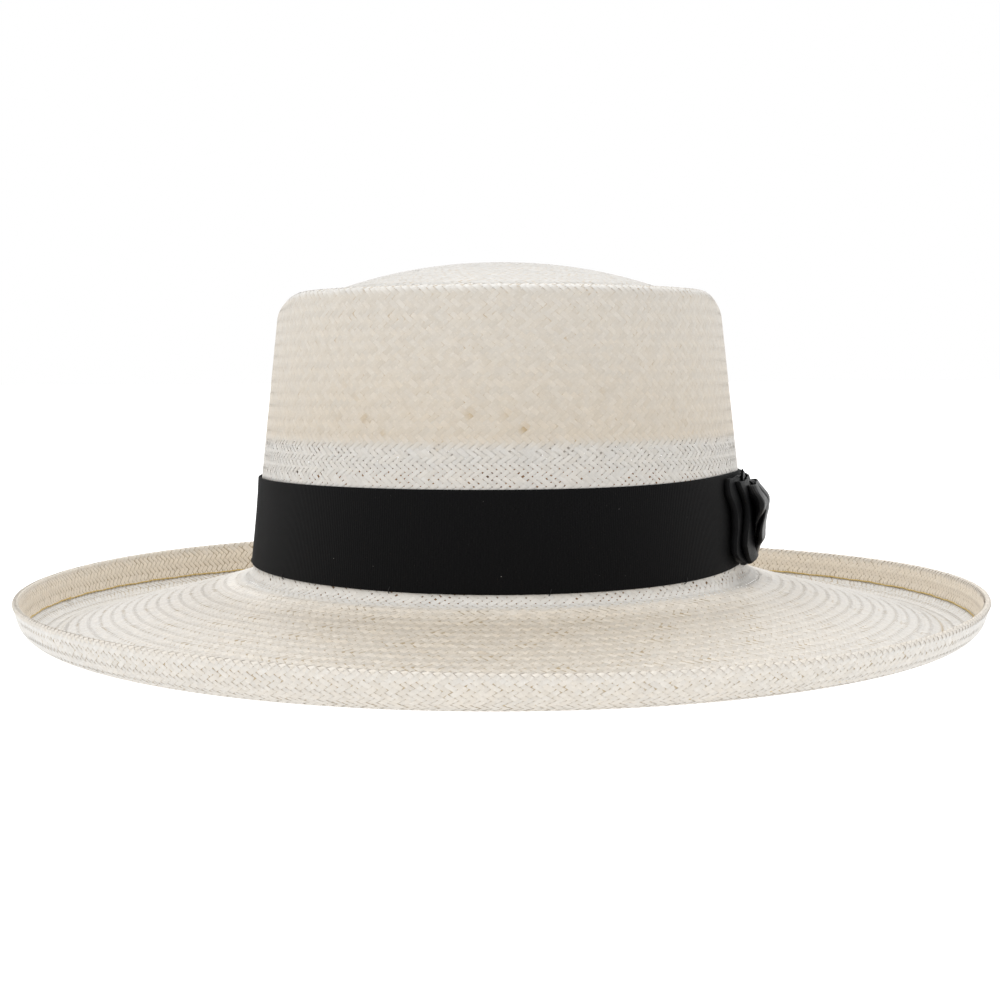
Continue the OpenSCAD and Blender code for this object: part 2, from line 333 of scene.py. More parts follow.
# ---- materials
class Nodes:
    """A short way to write a material's nodes."""

    def __init__(self, name):
        self.material = bpy.data.materials.new(name)
        self.material.use_nodes = True
        self.tree = self.material.node_tree
        self.shader = self.tree.nodes["Principled BSDF"]

    def put(self, node, sockets):
        """Links other nodes' outputs to the sockets, or sets them to numbers or colours."""
        for key, value in sockets.items():
            socket = node.inputs[key]
            if isinstance(value, bpy.types.NodeSocket):
                self.tree.links.new(value, socket)
            elif socket.type == "RGBA":
                socket.default_value = (*value[:3], 1)
            else:
                socket.default_value = value

    def set(self, **sockets):
        self.put(self.shader, {key.replace("_", " "): value for key, value in sockets.items()})

    def add(self, kind, sockets, **settings):
        node = self.tree.nodes.new("ShaderNode" + kind)
        for key, value in settings.items():
            setattr(node, key, value)
        self.put(node, sockets)
        return node

    def fibre(self):
        return self.add("UVMap", {}, uv_map="fibre").outputs[0]

    def split(self, vector, kind="SeparateXYZ"):
        return self.add(kind, {0: vector}).outputs[:3]

    def math(self, operation, a, b=0):
        return self.add("Math", {0: a, 1: b}, operation=operation).outputs[0]

    def sine(self, value, pitch):
        return self.math("SINE", self.math("MULTIPLY", value, math.tau / pitch))

    def remap(self, value, low, high, to_low, to_high):
        """A straight change of range, held at its ends."""
        ends = {"From Min": low, "From Max": high, "To Min": to_low, "To Max": to_high}
        return self.add("MapRange", {"Value": value, **ends}).outputs[0]

    def mix(self, share, a, b, blend="MIX"):
        settings = {"data_type": "RGBA", "blend_type": blend}
        return self.add("Mix", {0: share, 6: a, 7: b}, **settings).outputs[2]

    def noise(self, where, scale, detail=2, size=(1, 1, 1)):
        mapping = self.add("Mapping", {"Vector": where, "Scale": size})
        sockets = {"Vector": mapping.outputs[0], "Scale": scale, "Detail": detail}
        return self.add("TexNoise", sockets).outputs["Fac"]

    def bump(self, height, strength, distance):
        sockets = {"Height": height, "Strength": strength, "Distance": distance}
        self.set(Normal=self.add("Bump", sockets).outputs[0])


WHITE_STRAW = (0.635, 0.617, 0.585)
CREAM_STRAW = (0.60, 0.53, 0.435)
TAN_STRAW = (0.42, 0.29, 0.13)


def straw_material():
    n = Nodes("straw")
    marks = n.add("Attribute", {}, attribute_name="straw_marks")
    tone, warmth, gloss = n.split(marks.outputs["Color"], "SeparateColor")
    uv = n.fibre()
    grain = n.noise(uv, 1.0, 3, size=(0.35, 5, 1))
    colour = n.mix(warmth, WHITE_STRAW, CREAM_STRAW)
    colour = n.mix(marks.outputs["Alpha"], colour, TAN_STRAW)
    # Pale flecks along the straws, stronger where the straw is glossier: partly the straws' split grain,
    # partly painted highlights
    grain_and_sheen_flecks = n.remap(n.noise(uv, 1.0, 1, size=(1.5, 1.1, 1)), 0.55, 0.7, 0, 1)
    grain_and_sheen_flecks = n.math("MULTIPLY", grain_and_sheen_flecks, n.remap(gloss, 0.4, 0.6, 0.07, 0.15))
    shade = n.math("ADD", n.remap(tone, 0, 1, 0.75, 1.30), n.remap(grain, 0.3, 0.7, -0.03, 0.03))
    shade = n.math("ADD", shade, grain_and_sheen_flecks)
    grey = n.add("CombineColor", {0: shade, 1: shade, 2: shade}).outputs[0]
    n.bump(grain, 0.3, 0.0001)
    n.set(
        Base_Color=n.mix(1.0, colour, grey, "MULTIPLY"),
        Roughness=n.remap(gloss, 0, 1, 0.62, 0.30), IOR=1.5)
    return n.material


STRAW_MATERIAL = straw_material()

# ---- the weave
# How the weave changes along the straw's line: row height, roundness of the straws,
# how far their edges drop, how much of its space each fills, warmth, gloss and lightness.
STATIONS = np.array([
    (0, 0.92, 0.07, 0.05, 0.99, 0.00, 0.4, 0.09),
    (S_RIDGE, 0.92, 0.07, 0.05, 0.99, 0.12, 0.4, 0.17),
    (S_SHOULDER - 1.5, 0.92, 0.07, 0.05, 0.99, 0.30, 0.4, 0.27),
    # The whiter, lighter narrow band at the shoulder is a painted highlight along the crown's top edge
    (S_SHOULDER - 0.5, 0.92, 0.06, 0.05, 0.99, 0.00, 0.4, 0.46),
    (S_SHOULDER + 0.5, 0.92, 0.06, 0.05, 0.99, 0.00, 0.4, 0.46),
    (S_SHOULDER + 1.5, 0.92, 0.07, 0.05, 0.985, 0.50, 0.4, 0.30),
    (S_BAND_TOP - 24, 1.02, 0.08, 0.055, 0.98, 0.80, 0.4, 0.31),
    (S_BAND_TOP - 13, 1.04, 0.09, 0.06, 0.95, 0.90, 0.3, 0.33),
    (S_BAND_TOP - 10, 1.04, 0.11, 0.07, 0.79, 0.12, 0.2, 0.32),
    (S_FOOT + 3, 1.04, 0.11, 0.07, 0.79, 0.12, 0.2, 0.66),
    # The raised lightness over these two rows is partly painted highlight on the glossy fillet past the
    # crown's foot
    (S_FOOT + 5, 1.00, 0.09, 0.07, 0.97, 0.65, 0.5, 0.84),
    (S_FOOT + 8, 1.00, 0.08, 0.05, 1.06, 0.75, 0.6, 0.80),
    (S_FOOT + 16, 0.97, 0.08, 0.04, 1.07, 0.90, 0.6, 0.38),
    (S_CURL - 4, 0.95, 0.08, 0.04, 1.07, 0.50, 0.6, 0.37),
    (S_CURL + 5, 0.95, 0.15, 0.08, 0.93, 0.45, 0.3, 0.43),
    (S_RIM - 2.5, 0.95, 0.15, 0.08, 0.93, 0.45, 0.3, 0.44),
    (S_RIM - 0.5, 0.95, 0.08, 0.07, 0.97, 0.30, 0.3, 0.44),
    # The hem's full warmth is partly painted warm shade from inside the fold over the rim
    (S_RIM + 5, 0.95, 0.09, 0.065, 0.94, 1.00, 0.4, 0.95),
    (S_END, 0.95, 0.09, 0.065, 0.94, 1.00, 0.4, 0.95),
])
ROW, RELIEF, DROP, FILL, WARMTH, GLOSS, LIGHTNESS = range(1, 8)
# Stains in the crown's front, each (across, height above the crown's foot, size, strength)
STAINS = (
    (-51, 54.5, 0.9, 0.35), (-42.8, 54, 1.0, 0.8), (-37.2, 49.5, 0.9, 0.4), (-11, 55.5, 1.1, 0.7),
    (-0.3, 55.5, 1.0, 0.5), (5, 51, 1.2, 0.8), (-21, 44.5, 0.8, 0.3), (29, 62, 0.9, 0.3),
)
CROWN_PITCH = 2.55
RIM_PITCH = 2.77
CENTRE_S = 5.0
FLOAT_SHARPNESS = 2.2
# Where a straw is sampled between two crossings of each kind, in rows
PERIOD = (0, 1.1, 1.5, 1.9, 3.1, 3.5)
# A straw's points across, as shares of its half width: two edges and two shoulders
ACROSS = np.array([-1, -0.62, 0.62, 1])


def station(s, column):
    return np.interp(s, STATIONS[:, 0], STATIONS[:, column])


def rows_table():
    """Row numbers at steps along the line, scaled so that the hem ends on a whole zone."""
    s = np.arange(CENTRE_S, S_END + STEP / 2, STEP)
    s[-1] = S_END
    row = np.r_[0, np.cumsum(np.diff(s) / station(s[:-1], ROW))]
    whole = 4 * round(row[-1] / 4)
    return row * whole / row[-1], s, whole


ROW_NUMBERS, ROW_S, ROW_COUNT = rows_table()


def s_of_row(row):
    return np.interp(row, ROW_NUMBERS, ROW_S)


def straws_at(s):
    """How many straws of each lean cross the ring at s."""
    crown = round(perimeter(WALL_TOP_W) / CROWN_PITCH)
    rim = round(perimeter(RIM_HALF_W) / RIM_PITCH)
    width = float(np.interp(s, STRAW_S, STRAW[:, 0]))
    if s < S_SHOULDER:
        return max(10, round(perimeter(width) / CROWN_PITCH))
    if s < S_FOOT:
        return crown
    share = (width - HEAD_HALF_W) / (RIM_HALF_W - HEAD_HALF_W - 10)
    return round(crown + (rim - crown) * min(max(share, 0), 1)) if s < S_CURL else rim


def zones():
    """Bands of rows, each with one number of straws: (first row, rows, straws)."""
    found = []
    row = 0
    while row < ROW_COUNT:
        s = s_of_row(row)
        rows = 4 if s < 36 or ROW_COUNT - row < 8 else 8
        found.append((row, rows, straws_at(s_of_row(row + rows / 2))))
        row += rows
    return found


def zone_samples(first, rows):
    """The rows at which a zone's straws are sampled, closer together over the rim's fold."""
    t = np.unique([4 * k + p for k in range(rows // 4) for p in PERIOD] + [rows])
    s = s_of_row(first + t)
    if s[-1] > S_RIM - 1 and s[0] < S_RIM + 4:
        t = np.linspace(0, rows, 5 * rows + 1)
    return t


def stains_at(points):
    """How strongly the stains in the crown's front colour those points."""
    found = np.zeros(points.shape[:-1])
    for across, height, size, strength in STAINS:
        off = (points[..., 0] - across) ** 2 + (points[..., 2] - FOOT_Z - height) ** 2
        found += strength * np.exp(-off / size**2) * (points[..., 1] < 0)
    return found


def weave_zone(first, rows, count, shift, offset, new, tone, flaw):
    """Strips for both leans of straw in one zone: points, UVs and marks."""
    t = zone_samples(first, rows)
    s = s_of_row(first + t)
    height = np.tanh(FLOAT_SHARPNESS * np.cos(math.pi * (first + t - 0.5) / 2))
    height /= math.tanh(FLOAT_SHARPNESS)
    relief = station(s, RELIEF)
    fill = station(s, FILL)
    width = np.interp(s, STRAW_S, STRAW[:, 0])
    pitch = perimeter(width) / count
    slant = np.arctan2(2 * station(s, ROW), pitch)
    fade = (1 + np.cos(math.pi * t / rows)) / 2
    bell = np.sin(math.pi * t / rows) ** 2
    start = np.clip(t / 1.5, 0, 1)
    index = np.arange(count)[:, None]
    points, uvs, marks = [], [], []
    for lean in (1, -1):
        loose = np.clip(1 - fill, 0, 1)
        stray = rng.normal(0, 1, count)[:, None] * bell * (0.03 + 0.4 * loose)
        turn = shift + (index + offset[:, None] * fade + stray + lean * t / 2) / count
        scatter = rng.normal(0, 1, count)[:, None] * bell * (0.03 + 0.7 * loose)
        half = pitch * np.sin(slant) * fill / 2 * (1 + scatter)
        face = lean * height
        up = relief * face + rng.normal(0, 0.012, count)[:, None] * bell
        up = up - new[:, None] * 0.4 * (1 - start)
        centre = straw_point(turn, np.broadcast_to(s, turn.shape))
        ahead = normalised(np.gradient(centre, axis=1))
        out = straw_axes(turn, np.broadcast_to(s, turn.shape))[2]
        side = normalised(np.cross(out, ahead))
        drop = (station(s, DROP) * face)[:, None] * (np.abs(ACROSS) == 1)
        strip = (
            centre[:, :, None]
            + side[:, :, None] * (half[:, :, None] * ACROSS)[..., None]
            + out[:, :, None] * (up[:, :, None] - drop)[..., None]
        )
        points.append(strip)
        run = np.cumsum(np.r_[0, np.hypot(np.diff(s), pitch[1:] / 2 * np.diff(t))])
        u = run + rng.uniform(0, 100, count)[:, None]
        uvs.append(pairs(u[:, :, None], ACROSS))
        k = 0 if lean == 1 else 1
        each_float = np.floor((first + t - 0.5) / 2).astype(int) - first // 2 + 1
        by_float = rng.uniform(-0.5, 0.5, (count, rows // 2 + 3))[:, each_float]
        brim_front = np.clip((s - S_FOOT - 3) / 4, 0, 1) * (s < S_CURL) * np.sin(math.tau * turn) ** 2
        # Painted highlights: random floats in a ring just past the crown's foot are made lighter, standing
        # in for glossy glints
        painted_glints = np.exp(-(((s - S_FOOT - 7.5) / 1.3) ** 2)) * (by_float > 0.2) * 0.3
        light = station(s, LIGHTNESS) + 0.07 * (tone[k][:, None] - 0.5)
        on_wall = (s > S_SHOULDER) * (s < S_BAND_TOP - 11)
        # Painted light: straws of one lean lighter and of the other darker, as painted shade of alternate
        # rows, and pale floats on the brim's front as painted highlights
        painted_row_light = brim_front * (0.11 * lean + 0.14 * (by_float > 0.3)) + 0.025 * lean * on_wall
        light = light + (0.17 - 0.07 * brim_front - 0.05 * on_wall) * by_float + painted_row_light + painted_glints
        on_brim = np.clip((s - S_FOOT - 3) / 4, 0, 1) * (s < S_RIM)
        at_side = np.cos(math.tau * turn) ** 2
        warm = station(s, WARMTH) - 0.45 * at_side * on_brim + 0.25 * np.roll(by_float, 1, axis=0)
        stain = flaw[k][:, None] + stains_at(centre)
        mark = np.stack(np.broadcast_arrays(
            light[:, :, None], np.clip(warm, 0, 1)[:, :, None],
            station(s, GLOSS)[None, :, None], stain[:, :, None] + 0 * ACROSS), -1)
        marks.append(mark.reshape(-1, 4))
    return np.concatenate(points), np.vstack(uvs), np.vstack(marks)


# The woven pieces and where along the line each ends
BRIM_ENDS = np.linspace(S_FOOT + 2, S_CURL, 5)[1:]
REGIONS = [
    ("straw_dome", S_RIDGE - 14),
    ("straw_ridge", S_SHOULDER + 8),
    ("straw_wall_upper", (S_SHOULDER + S_FOOT) / 2),
    ("straw_wall_lower", S_FOOT + 2),
    *zip(("straw_brim_inner", "straw_brim_middle", "straw_brim_outer", "straw_brim_edge"), BRIM_ENDS),
    ("straw_curl", S_RIM - 3),
    ("straw_hem", S_END + 1),
]


def build_weave():
    shift = 0.0
    old = None
    parts = {name: [] for name, _ in REGIONS}
    for first, rows, count in zones():
        if old is None:
            offset = np.zeros(count)
            new = np.zeros(count)
            tone = rng.uniform(0, 1, (2, count))
        else:
            old_count, old_rows, old_tone = old
            phase = rng.uniform(0, 1) if count != old_count else 0.0
            crossing = np.arange(old_count)
            exact = crossing * count / old_count + phase
            index = np.round(exact).astype(int)
            offset = np.zeros(count)
            new = np.ones(count)
            tone = rng.uniform(0, 1, (2, count))
            offset[index % count] = exact - index
            new[index % count] = 0
            for k, lean in ((0, 1), (1, -1)):
                carried = old_tone[k][(crossing - lean * old_rows // 2) % old_count]
                tone[k][index % count] = carried
            shift -= phase / count
        flaw = (rng.uniform(0, 1, (2, count)) < 0.002) * 0.15
        made = weave_zone(first, rows, count, shift, offset, new, tone, flaw)
        middle = s_of_row(first + rows / 2)
        name = next(name for name, end in REGIONS if middle < end)
        parts[name].append(made)
        old = (count, rows, tone)
    for name, found in parts.items():
        points, uvs, marks = zip(*found)
        quads = []
        first = 0
        for strip in points:
            straws, samples, columns = strip.shape[:3]
            starts = first + np.arange(straws)[:, None, None] * samples * columns
            quads.append((grid_quads(samples, columns) + starts).reshape(-1, 4))
            first += straws * samples * columns
        made = straw_mesh(name, [p.reshape(-1, 3) for p in points], uvs, marks, quads)
        hand_in(made, "straw", "woven_body")


build_weave()


def size_and_gap_shade_material(name, pale, dark):
    """The film that shows in the gaps between the straws, darker and warmer than they are: partly the
    straws' hardened size, partly painted shade in the gaps.
    """
    n = Nodes(name)
    uv = n.fibre()
    patches = n.noise(uv, 0.35, 3)
    colour = n.mix(n.remap(patches, 0.45, 0.7, 0, 1), pale, dark)
    n.bump(n.noise(uv, 1.2, 2), 0.3, 0.0001)
    n.set(Base_Color=colour, Roughness=0.55, Specular_IOR_Level=0.4)
    return n.material


def build_gap_film(name, material, edges, steps):
    """A film along the straw's middle surface that closes the gaps between the straws, with
    one length of step along the straw's line between each two edges."""
    around = 300
    s = np.concatenate([
        np.linspace(a, b, max(2, int((b - a) / step)), endpoint=False)
        for a, b, step in zip(edges, edges[1:], steps)] + [edges[-1:]])[:, None]
    turn = np.arange(around)[None, :] / around
    points = straw_point(turn + 0 * s, s + 0 * turn)
    run = turn * perimeter(np.interp(s, STRAW_S, STRAW[:, 0]))
    return grid_mesh(name, points, run, s, material, close_columns=True)


def build_start():
    """The square plait at the dome's centre, from which the weave sets out."""
    pitch = 2.3
    count = 5
    relief = 0.10
    longer = 1.24
    sink_length = 2.2
    top = CROWN_H + DOME_RISE + FOOT_Z
    points, uvs, marks, quads = [], [], [], []
    for along, run_scale, aside_scale in ((0, 1, longer), (1, longer, 1)):
        reach = (CENTRE_S + 1.6) * run_scale
        run = np.linspace(-reach, reach, 41)[:, None]
        for k in range(count):
            aside = (k - (count - 1) / 2) * pitch * aside_scale
            wide = pitch * 0.47 * aside_scale
            wave = np.tanh(2 * np.cos(math.pi * (run / pitch + k + along)))
            sink = np.clip((np.abs(run) - reach + sink_length) / sink_length, 0, 1) ** 2
            up = top + relief * wave - 0.35 * sink - 0.05 * (np.abs(ACROSS) == 1)
            level = (run + 0 * ACROSS, aside + wide * ACROSS + 0 * run)
            if along == 1:
                level = level[::-1]
            first = sum(len(p) for p in points)
            points.append(np.stack([*level, up], -1).reshape(-1, 3))
            uvs.append(pairs(run + 30 * k, ACROSS))
            light = 0.2 + 0.15 * rng.uniform(-0.5, 0.5)
            marks.append(np.tile([light, 0.0, 0.5, 0], (len(points[-1]), 1)))
            quads.append(grid_quads(run.size, len(ACROSS), first=first))
    return straw_mesh("straw_start", points, uvs, marks, quads)


# Films that close the gaps between the straws; their darker, warmer colours are partly size and partly
# painted shade in the gaps
pale_size_and_shade = size_and_gap_shade_material("straw_size_and_shade_pale", (0.56, 0.52, 0.46), (0.46, 0.36, 0.24))
tan_size_and_shade = size_and_gap_shade_material("straw_size_and_shade_tan", (0.46, 0.38, 0.27), (0.36, 0.27, 0.15))
fold_edges = [S_FOOT + 5.5, S_RIM - 1, S_RIM + 4, S_END - 0.2]
for piece in (
    build_start(),
    build_gap_film("straw_size_and_shade_crown", pale_size_and_shade, [0.3, S_BAND_TOP - 12], [0.9]),
    build_gap_film("straw_size_and_shade_brim", tan_size_and_shade, fold_edges, [1.0, 0.25, 0.6]),
):
    hand_in(piece, "straw", "woven_body")


# ---- swept strips and threads
class Sweep:
    """Closed strips and threads swept along paths, gathered into one mesh."""

    def __init__(self):
        self.points, self.uvs, self.quads, self.size = [], [], [], 0

    def add(self, path, across, width, thickness, closed=False, flat=1.0, sides=12):
        """path is in mm, across the way across the strip at each point. flat is 1 for a
        round thread and about 0.3 for a strip. Open ends close to a rounded point."""
        path = np.array(path, float)
        ahead = (np.roll(path, -1, 0) - np.roll(path, 1, 0)) if closed else np.gradient(path, axis=0)
        ahead = normalised(ahead)
        face = normalised(np.cross(ahead, np.broadcast_to(across, path.shape)))
        across = np.cross(face, ahead)
        count = len(path)
        tip = 0.02
        width = np.broadcast_to(width, count).astype(float)
        thick = np.broadcast_to(thickness, count).astype(float)
        run = np.r_[0, np.cumsum(np.linalg.norm(np.diff(path, axis=0), axis=1))]
        if not closed:
            again = np.r_[0, :count, count - 1]
            path, across, face, run, width, thick = (
                v[again] for v in (path, across, face, run, width, thick))
            width[[0, -1]] *= tip
            thick[[0, -1]] *= tip
            count += 2
        a = np.arange(sides) / sides * math.tau
        wide = np.sign(np.cos(a)) * np.abs(np.cos(a)) ** flat / 2
        deep = np.sign(np.sin(a)) * np.abs(np.sin(a)) ** min(1, flat * 2) / 2
        ring = (
            path[:, None]
            + across[:, None] * (width[:, None] * wide)[..., None]
            + face[:, None] * (thick[:, None] * deep)[..., None]
        )
        self.points.append(ring.reshape(-1, 3))
        v = a / math.tau * (2 * width.max())
        self.uvs.append(pairs(run[:, None], v))
        self.quads.append(grid_quads(count, sides, self.size, closed, True))
        self.size += count * sides

    def thread(self, path, diameter, sides=8, closed=False, across=(0, 0, 1)):
        self.add(path, across, diameter, diameter, closed=closed, sides=sides)

    def made(self, name, material):
        piece = mesh_of(name, np.vstack(self.points), np.vstack(self.quads), material)
        set_uv(piece, np.vstack(self.uvs))
        return piece


UPRIGHT = np.array([0.0, 0.0, 1.0])


def thread_material(name, colour, other):
    """Two-ply thread: slanting plies, and fibres that catch the light."""
    n = Nodes(name)
    uv = n.fibre()
    along, across, _ = n.split(uv)
    slant = n.math("ADD", n.math("MULTIPLY", along, 7.0), n.math("MULTIPLY", across, 6.0))
    ply = n.math("SINE", slant)
    fibre = n.noise(uv, 2.0, 3, size=(1, 5, 1))
    share = n.math("ADD", n.remap(ply, -1, 1, 0, 0.6), n.remap(fibre, 0.3, 0.7, 0, 0.4))
    n.bump(n.math("ADD", ply, fibre), 0.5, 0.0001)
    n.set(Base_Color=n.mix(share, colour, other), Roughness=0.6, Specular_IOR_Level=0.3)
    return n.material


# ---- grosgrain
RIB = 0.8
BLACK_SILK = (0.0028, 0.0028, 0.0031)


def grosgrain_material(name, roughness, level, ribs, sheen=0.0):
    """Black ribbon with ribs across it, and a few pale specks of lint."""
    n = Nodes(name)
    uv = n.fibre()
    wave = n.sine(n.split(uv)[0], RIB)
    thread = n.noise(uv, 1.0, 3, size=(1.2, 6, 1))
    fluff = n.noise(uv, 1.0, 1, size=(0.9, 1.6, 1))
    lint = n.remap(fluff, 0.80, 0.83, 0, 1)
    body = n.mix(n.remap(thread, 0.35, 0.75, 0, 1), BLACK_SILK, (0.0075, 0.0075, 0.008))
    colour = n.mix(lint, body, (0.22, 0.21, 0.20))
    height = n.math("ADD", n.math("MULTIPLY", wave, ribs), thread)
    n.bump(height, 0.5, 0.00012)
    n.set(Base_Color=colour, Roughness=roughness, Specular_IOR_Level=level, Sheen_Weight=sheen)
    return n.material


BAND_MATERIAL = grosgrain_material("grosgrain", 0.6, 0.035, 0.0, sheen=0.04)
BOW_MATERIAL = grosgrain_material("bow_silk", 0.42, 0.045, 0.4)
LOBE_MATERIAL = grosgrain_material("bow_satin", 0.36, 0.12, 0.3)

BAND_IN = 0.32
BAND_T = 0.42
RIB_H = 0.11


def wall_width(z):
    return HEAD_HALF_W - CROWN_TAPER * z / CROWN_H


def outward(turn, width, z):
    """The way out of the crown's wall, at shares of a turn."""
    small = 0.001
    round_it = normalised(oval(turn + small, width, z) - oval(turn - small, width, z))
    level = np.stack([round_it[..., 1], -round_it[..., 0], 0 * round_it[..., 0]], -1)
    lean = math.atan(CROWN_TAPER / CROWN_H)
    return level * math.cos(lean) + np.array([0, 0, math.sin(lean)])


def on_wall(turn, z, out):
    """Points off the wall's middle surface."""
    width = wall_width(z)
    return oval(turn, width, z) + outward(turn, width, z) * np.asarray(out)[..., None]


def band_edges(turn):
    """Heights of the band's lower and upper edges, which ride up a little at the sides."""
    side = np.cos(math.tau * turn)
    bow_side = np.clip(side, 0, 1)
    low = BAND_UP - 0.2 + 1.5 * side**2 + 3.4 * bow_side**6
    high = BAND_UP + BAND_W + 0.9 * bow_side**2 + 3.4 * bow_side**5 - 2.9 * bow_side**10
    return low, high


def build_band():
    """The ribbon round the crown, with its ribs modelled and its edges rolled in."""
    ribs = round(perimeter(HEAD_HALF_W) / RIB)
    per_rib = 4
    turn = np.arange(ribs * per_rib)[:, None] / (ribs * per_rib)
    rib = np.tile([0.0, 0.7, 1.0, 0.7], ribs)[:, None]
    up = np.array([0, 0, 0.006, 0.02, 0.2, 0.4, 0.6, 0.8, 0.98, 0.994, 1, 1])
    out = np.array([0, 0.5, 0.85, 1, 1, 1, 1, 1, 1, 0.85, 0.5, 0])
    ribbed = np.array([0, 0.3, 0.8, 1, 1, 1, 1, 1, 1, 0.8, 0.3, 0])
    low, high = band_edges(turn)
    z = low + (high - low) * up
    stand_off = 0.7 * np.exp(-(((turn - 0.55) / 0.05) ** 2)) * up**4
    off = BAND_IN + BAND_T * out + RIB_H * rib * ribbed + stand_off
    points = on_wall(np.broadcast_to(turn, z.shape), z, off)
    run = turn * perimeter(HEAD_HALF_W)
    return grid_mesh("grosgrain_band", points, run, BAND_W * up, BAND_MATERIAL, True, True)


band = hand_in(build_band(), "ribbon", "ribbon_band")

# ---- the bow
BAND_FACE = BAND_IN + BAND_T + RIB_H
knot_low, knot_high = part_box("bow_knot")
KNOT = (knot_low + knot_high) / 2 / MM


def turn_of(x, y, width):
    """The share of a turn at which an oval passes the direction of a point."""
    long = width + float(length_extra(width))
    angle = math.atan2(y / long, x / width)
    flat = (long**2 - width**2) / (long**2 + width**2)
    return (angle + flat / 4 * math.sin(2 * angle)) / math.tau


BOW_TURN = turn_of(KNOT.x, KNOT.y, wall_width(BAND_UP + BAND_W / 2))


def on_band(forward, out, up):
    """Points by how far forward of the knot, how far off the band and how high up it they lie."""
    turn = BOW_TURN - forward / perimeter(wall_width(BAND_UP + up))
    low, high = band_edges(turn)
    return on_wall(turn, low + (high - low) * up / BAND_W, BAND_FACE + out)


def curve_through(points, x):
    """A smooth curve through a few points, sampled at x."""
    points = np.array(points, float)
    coarse = np.interp(x, points[:, 0], points[:, 1])
    wide = np.linspace(-0.9, 0.9, 7)
    smooth = np.mean([np.interp(x + d, points[:, 0], points[:, 1]) for d in wide], axis=0)
    return smooth * 0.8 + coarse * 0.2


def loop_sheet(name, ends, ahead, behind, middle, radius, squeeze, nip, material, crease=None):
    """A flat loop of ribbon. ends are the heights of its two edges. ahead, behind, middle
    and radius are curves over the height: how far its two folds lie from the knot, how far
    off the band its middle is, and half its depth. nip presses its underside down at the knot."""
    rows = 44
    bends = np.linspace(-math.pi / 2, math.pi / 2, 17)
    runs = np.linspace(0, 1, 26)[1:-1]
    share = np.linspace(0, 1, rows)[:, None]
    up = ends[0] + share * (ends[1] - ends[0])
    front = curve_through(ahead, up)
    back = -curve_through(behind, up)
    centre = curve_through(middle, up)
    r = curve_through(radius, up)
    forward = np.hstack([
        front - r + r * np.cos(bends),
        front - r + (back - front + 2 * r) * runs,
        back + r - r * np.cos(bends),
        back + r - (back - front + 2 * r) * runs,
    ])
    flat_out = np.hstack([
        r * np.sin(bends), r + 0 * runs + 0 * up, -r * np.sin(bends), -r + 0 * runs + 0 * up])
    near_knot = np.exp(-((forward / 7.5) ** 2))
    toward = np.exp(-((forward / 15) ** 2))
    out = centre * (1 - squeeze * toward) + flat_out * (1 - 0.55 * near_knot)
    underside = np.clip(0.5 - flat_out / r, 0, 1)
    out = out - nip * near_knot * underside * np.clip((up - 3) / 9, 0, 1)
    end = np.clip(np.abs(forward) / 34, 0, 1)
    # Another phase for each loop, so that their ripples differ
    phase = 0.7 * len(name)
    up = up + 0.35 * np.sin(forward * 0.33 + phase) * (share - 0.5)
    out = out + 0.16 * np.sin(forward * 0.45 + up * 0.21 + phase) * end
    if crease is not None:
        forward, out = crease(forward, out, up, len(bends))
    points = on_band(forward, np.maximum(out, 0.25), up)
    step = np.hypot(np.diff(forward, axis=1), np.diff(out, axis=1)).mean(0)
    run = np.r_[0, np.cumsum(step)]
    return thicken(grid_mesh(name, points, run, up, material, close_columns=True), 0.4)


def thicken(made, thickness):
    solid = made.modifiers.new("cloth", "SOLIDIFY")
    solid.thickness = thickness * MM
    solid.offset = 0.0
    return made


def lobe_crease(forward, out, up, bend_count):
    """The slanting tuck across the top loop's front fold: full above it, hollow below it."""
    column = np.arange(forward.shape[1])[None, :]
    around = np.clip(column / (bend_count - 1), 0, 1.6)
    on_fold = np.clip(1.35 - np.abs(around - 0.5) * 0.9, 0, 1) * (column < bend_count + 8)
    line = 9.5 + 10.0 * around
    over = up - line
    full = np.exp(-(((over - 3.5) / 4.2) ** 2))
    hollow = np.exp(-(((over + 2.2) / 2.4) ** 2))
    step = 1 / (1 + np.exp(-over * 2.2))
    forward = forward + on_fold * (1.3 * full * step - 2.6 * hollow * (1 - step))
    out = out + on_fold * (0.5 * full * step - 0.7 * hollow * (1 - step))
    return forward, out


rear_loop = hand_in(
    loop_sheet(
        "bow_loop_rear", (0.5, 29.0),
        ahead=[(0, 29), (1.6, 31), (3.2, 35.5), (5.2, 37.3), (8.4, 36.5), (12, 34.3), (18, 33),
               (21.4, 33.8), (24, 35), (27, 34.5), (31, 31)],
        behind=[(0, 33), (8, 34.5), (16, 34), (24, 35), (31, 33.5)],
        middle=[(0, 2.6), (2, 2.5), (5, 1.9), (12, 2.0), (18, 2.1), (24, 1.5), (31, 1.2)],
        radius=[(0, 0.8), (6, 0.9), (15, 1.0), (24, 0.9), (31, 0.6)],
        squeeze=0.55, nip=0.0, material=BOW_MATERIAL),
    "bow_ribbon", "bow_rear_loop")
middle_loop = hand_in(
    loop_sheet(
        "bow_loop_middle", (0.6, 27.4),
        ahead=[(0, 27), (1, 28), (3.2, 30.3), (6.8, 32.2), (10, 30.8), (15, 27.3), (19.5, 25.8),
               (22.4, 27), (26, 28.5), (30, 27.5)],
        behind=[(0, 26), (7, 27.5), (15, 27), (24, 28), (30, 26)],
        middle=[(0, 4.0), (3, 4.0), (7, 3.9), (11, 4.1), (17, 4.4), (22, 3.9), (27, 3.0), (30, 2.6)],
        radius=[(0, 0.7), (10, 0.9), (18, 1.0), (26, 0.8), (30, 0.6)],
        squeeze=0.42, nip=0.5, material=BOW_MATERIAL),
    "bow_ribbon", "bow_middle_loop")
